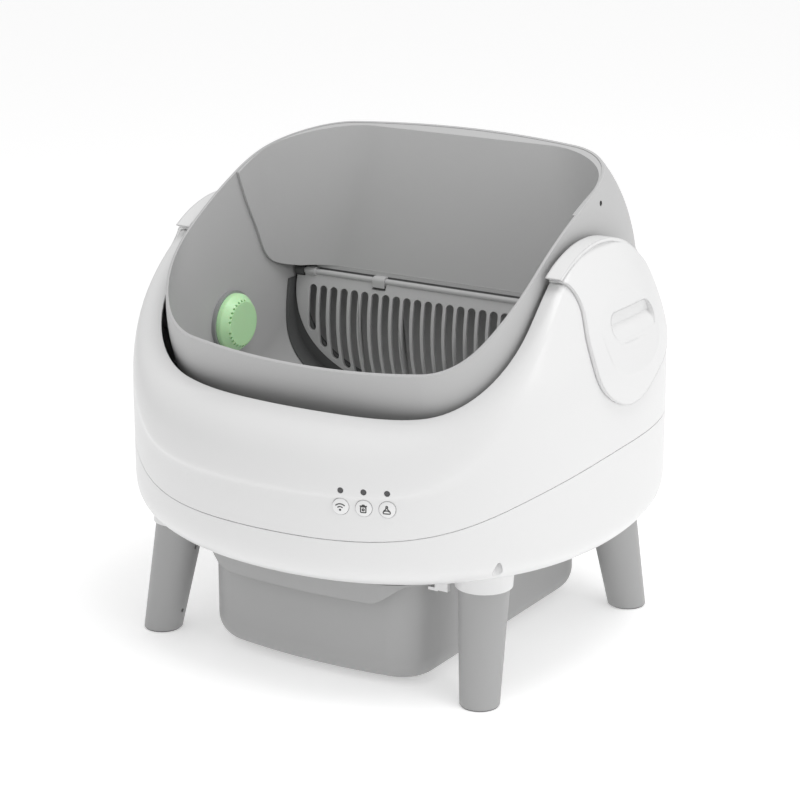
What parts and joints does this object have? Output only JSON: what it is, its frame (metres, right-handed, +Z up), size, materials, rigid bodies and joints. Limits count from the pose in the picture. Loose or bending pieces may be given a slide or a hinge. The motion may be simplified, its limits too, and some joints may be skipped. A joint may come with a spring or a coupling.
{
  "type": "automatic litter box",
  "caption": "Top-loading litter box: a motor-driven drum with a hinged sifting grate turns over a slide-out waste drawer, on short legs.",
  "frame": {"origin": "on the floor under the middle of the casing", "axes": "+X to the object's right, which is its longest extent, -Y to the front with the drawer and buttons, +Z up"},
  "size_m": [0.5396, 0.4819, 0.4819],
  "materials": {
    "white_shell": "satin moulded",
    "drum_plastic": "fine moulded texture",
    "dark_plastic": "fine moulded texture",
    "grey_plastic": "satin",
    "green_plastic": "satin",
    "button_plastic": "smooth",
    "nylon": "natural nylon",
    "steel": "zinc plated",
    "board": "solder mask",
    "switch_plastic": "moulded",
    "lens": "clear diffusing",
    "pad_rubber": "moulded"
  },
  "bodies": {
    "base": {"lower_shell": "white_shell", "upper_shell": "white_shell", "cradle_liner": "white_shell", "side_cover_left": "white_shell", "side_cover_right": "white_shell", "bearing_bracket_left": "steel", "bearing_bracket_right": "steel", "bearing_bush_left": "nylon", "bearing_bush_right": "nylon", "drawer_rail_left": "white_shell", "drawer_rail_right": "white_shell", "drive_motor": "steel", "gearbox_housing": "dark_plastic", "position_sensor": "grey_plastic", "main_board": "board", "control_board": "board", "tact_switches": "switch_plastic", "power_inlet": "dark_plastic", "led_lenses": "lens", "leg_front_left": "drum_plastic", "leg_front_right": "drum_plastic", "leg_rear_left": "drum_plastic", "leg_rear_right": "drum_plastic", "foot_pad_front_left": "pad_rubber", "foot_pad_front_right": "pad_rubber", "foot_pad_rear_left": "pad_rubber", "foot_pad_rear_right": "pad_rubber", "leg_screws": "steel", "casing_screws": "steel", "cover_screws": "steel"},
    "drum": {"drum_tub": "drum_plastic", "drum_back_panel": "drum_plastic", "grate_frame": "dark_plastic", "grate_rod": "steel", "grate_clips": "dark_plastic", "deodorizer_base": "grey_plastic", "deodorizer_cap": "green_plastic", "drum_hub_left": "nylon", "drum_hub_right": "nylon", "drum_ring_gear": "nylon", "drum_magnet": "steel", "panel_screws": "steel"},
    "grate": {"grate": "dark_plastic"},
    "pinion": {"drive_pinion": "nylon"},
    "drawer": {"waste_drawer": "drum_plastic"},
    "connect_button": {"connect_button": "button_plastic"},
    "bin_button": {"bin_button": "button_plastic"},
    "clean_button": {"clean_button": "button_plastic"}
  },
  "joints": [
    {"name": "drum_turn", "type": "hinge", "parent": "base", "child": "drum", "pos_m": [0, 0.0115, 0.337], "axis": [-1, 0, 0], "range_deg": [-20, 190]},
    {"name": "pinion_spin", "type": "hinge", "parent": "base", "child": "pinion", "pos_m": [0.2085, -0.0202, 0.26903], "axis": [-1, 0, 0], "range_deg": [-765, 85]},
    {"name": "grate_swing", "type": "hinge", "parent": "drum", "child": "grate", "pos_m": [0, 0.1055, 0.317], "axis": [-1, 0, 0], "range_deg": [0, 90]},
    {"name": "drawer_slide", "type": "slide", "parent": "base", "child": "drawer", "axis": [0, -1, 0], "range_m": [0, 0.3]},
    {"name": "connect_button_press", "type": "slide", "parent": "base", "child": "connect_button", "axis": [-0.3206, 0.9472, 0], "range_m": [0, 0.0011], "stiffness_N_per_m": 600},
    {"name": "bin_button_press", "type": "slide", "parent": "base", "child": "bin_button", "axis": [-0.3206, 0.9472, 0], "range_m": [0, 0.0011], "stiffness_N_per_m": 600},
    {"name": "clean_button_press", "type": "slide", "parent": "base", "child": "clean_button", "axis": [-0.3206, 0.9472, 0], "range_m": [0, 0.0011], "stiffness_N_per_m": 600}
  ],
  "couplings": [
    {"joint": "pinion_spin", "follows": "drum_turn", "ratio": -4}
  ]
}
